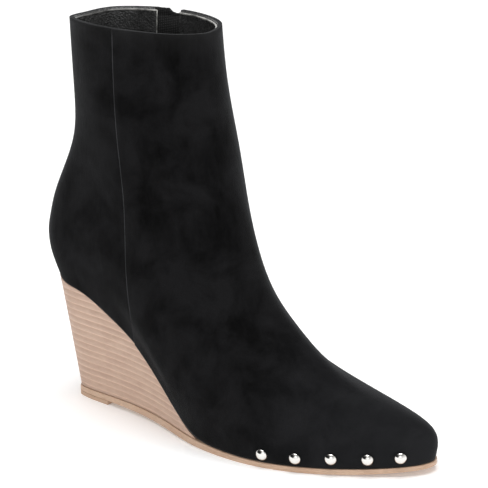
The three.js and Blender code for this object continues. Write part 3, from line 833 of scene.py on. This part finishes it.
# Rows of stitches beside the slot, and the stop at the chain's foot.


def thread_material():
    material, tree, shader = new_material("thread")
    twist = node(tree, "TexWave", {"Vector": object_coordinates(tree), "Scale": 900.0},
                 bands_direction="DIAGONAL").outputs["Fac"]
    tree.links.new(mixed(tree, twist, linear(20, 20, 20), linear(52, 52, 52)),
                   shader.inputs["Base Color"])
    shader.inputs["Roughness"].default_value = 0.5
    shader.inputs["Sheen Weight"].default_value = 0.2
    bump(tree, shader, twist, 0.0001, 0.6)
    return material


suede_tree = BVHTree.FromObject(upper_piece, bpy.context.evaluated_depsgraph_get())
stitch_mesh = bmesh.new()
for side in (-1, 1):
    for i in range(1, int(chain_length / STITCH_PITCH)):
        place, up = along_chain(i * STITCH_PITCH)
        outside = Vector((place.x + side * STITCH_ASIDE, 0.07, place.z))
        hit, normal, _, _ = suede_tree.ray_cast(outside, Vector((0, -1, 0)))
        if hit is None:
            continue
        up = (up - normal * up.dot(normal)).normalized()
        turn = Matrix((up, normal.cross(up), normal)).transposed().to_4x4()
        size = Matrix.Diagonal((STITCH_LENGTH / 2, STITCH_RADIUS, STITCH_RADIUS, 1))
        bmesh.ops.create_uvsphere(stitch_mesh, u_segments=8, v_segments=6, radius=1,
                                  matrix=Matrix.Translation(hit) @ turn @ size)
for face in stitch_mesh.faces:
    face.smooth = True
stitches = new_piece("zip_stitches", stitch_mesh, thread_material())
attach(stitches, "boot")

stop_mesh = bmesh.new()
place, up = along_chain(0.0)
out = (Vector((0, 1, 0)) - up * up.y).normalized()
turn = Matrix((up.cross(out), up, out)).transposed().to_4x4()
made = bmesh.ops.create_cube(stop_mesh, size=1, matrix=Matrix.Translation(place) @ turn
                             @ Matrix.Diagonal(STOP_SIZE))
bmesh.ops.bevel(stop_mesh, geom=list(stop_mesh.edges), offset=0.0004, offset_type="OFFSET",
                segments=3, profile=0.5, affect="EDGES", material=-1)
for face in stop_mesh.faces:
    face.smooth = True
stop = new_piece("zip_foot_stop", stop_mesh, teeth)
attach(stop, "boot")

for name, source, body in (
    ("zip_slider_steel", "zip_slider", "boot"),
    ("zip_pull_steel", "zip_pull", "pull_tab"),
):
    part = bevelled(name, source, 0.00025, 3, steel)
    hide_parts(source)
    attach(part, body)


# The stage: a plain white floor under the boot and soft white light from all round, with a large
# soft box over the toe and one each in front and behind.
def stage_material():
    material, tree, shader = new_material("white_floor")
    tree.links.new(mixed(tree, noise(tree, object_coordinates(tree), 3, 2),
                         linear(252, 252, 252), linear(255, 255, 255)),
                   shader.inputs["Base Color"])
    shader.inputs["Roughness"].default_value = 0.9
    shader.inputs["Specular IOR Level"].default_value = 0.1
    shader.inputs["Emission Color"].default_value = (1, 1, 1, 1)
    shader.inputs["Emission Strength"].default_value = 0.16
    return material


floor_mesh = bmesh.new()
bmesh.ops.create_grid(floor_mesh, x_segments=8, y_segments=8, size=6)
floor = new_piece("floor", floor_mesh, stage_material())

world = bpy.data.worlds.new("studio")
world.use_nodes = True
sky = world.node_tree
direction = node(sky, "TexCoord").outputs["Generated"]
rise = node(sky, "SeparateXYZ", {"Vector": direction}).outputs["Z"]
sky.nodes["Background"].inputs["Color"].default_value = (1, 1, 1, 1)
sky.links.new(spread(sky, rise, 0.15, 0.7, 1.0, 0.25), sky.nodes["Background"].inputs["Strength"])
bpy.context.scene.world = world
bpy.context.scene.view_settings.view_transform = "Standard"

for name, place, size, energy in (
    ("soft_box_above", (0.3, -0.1, 1.6), 1.2, 22),
    ("soft_box_front", (1.4, -1.5, 0.9), 1.2, 4),
    ("soft_box_behind", (-1.2, 0.9, 1.0), 1.2, 5),
):
    light = bpy.data.lights.new(name, "AREA")
    light.size = size
    light.energy = energy
    lamp = bpy.data.objects.new(name, light)
    lamp.location = place
    lamp.rotation_euler = (Vector((0.09, 0, 0.1)) - Vector(place)).to_track_quat("-Z", "Y").to_euler()
    bpy.context.scene.collection.objects.link(lamp)

# A wide black flag beside the soft boxes. Only glossy surfaces such as the steel mirror it.
flag_mesh = bmesh.new()
flag_turn = Vector((0.52, 0.72, -0.46)).to_track_quat("Z", "Y").to_matrix().to_4x4()
bmesh.ops.create_grid(flag_mesh, x_segments=6, y_segments=4, size=0.42,
                      matrix=Matrix.Translation((-0.44, -0.89, 0.5)) @ flag_turn
                      @ Matrix.Diagonal((2.2, 1, 1, 1)))
flag_material, flag_tree, flag_shader = new_material("black_flag")
flag_shader.inputs["Base Color"].default_value = linear(10, 10, 10)
flag_shader.inputs["Roughness"].default_value = 1.0
flag = new_piece("black_flag", flag_mesh, flag_material)
flag.visible_camera = flag.visible_diffuse = flag.visible_shadow = False
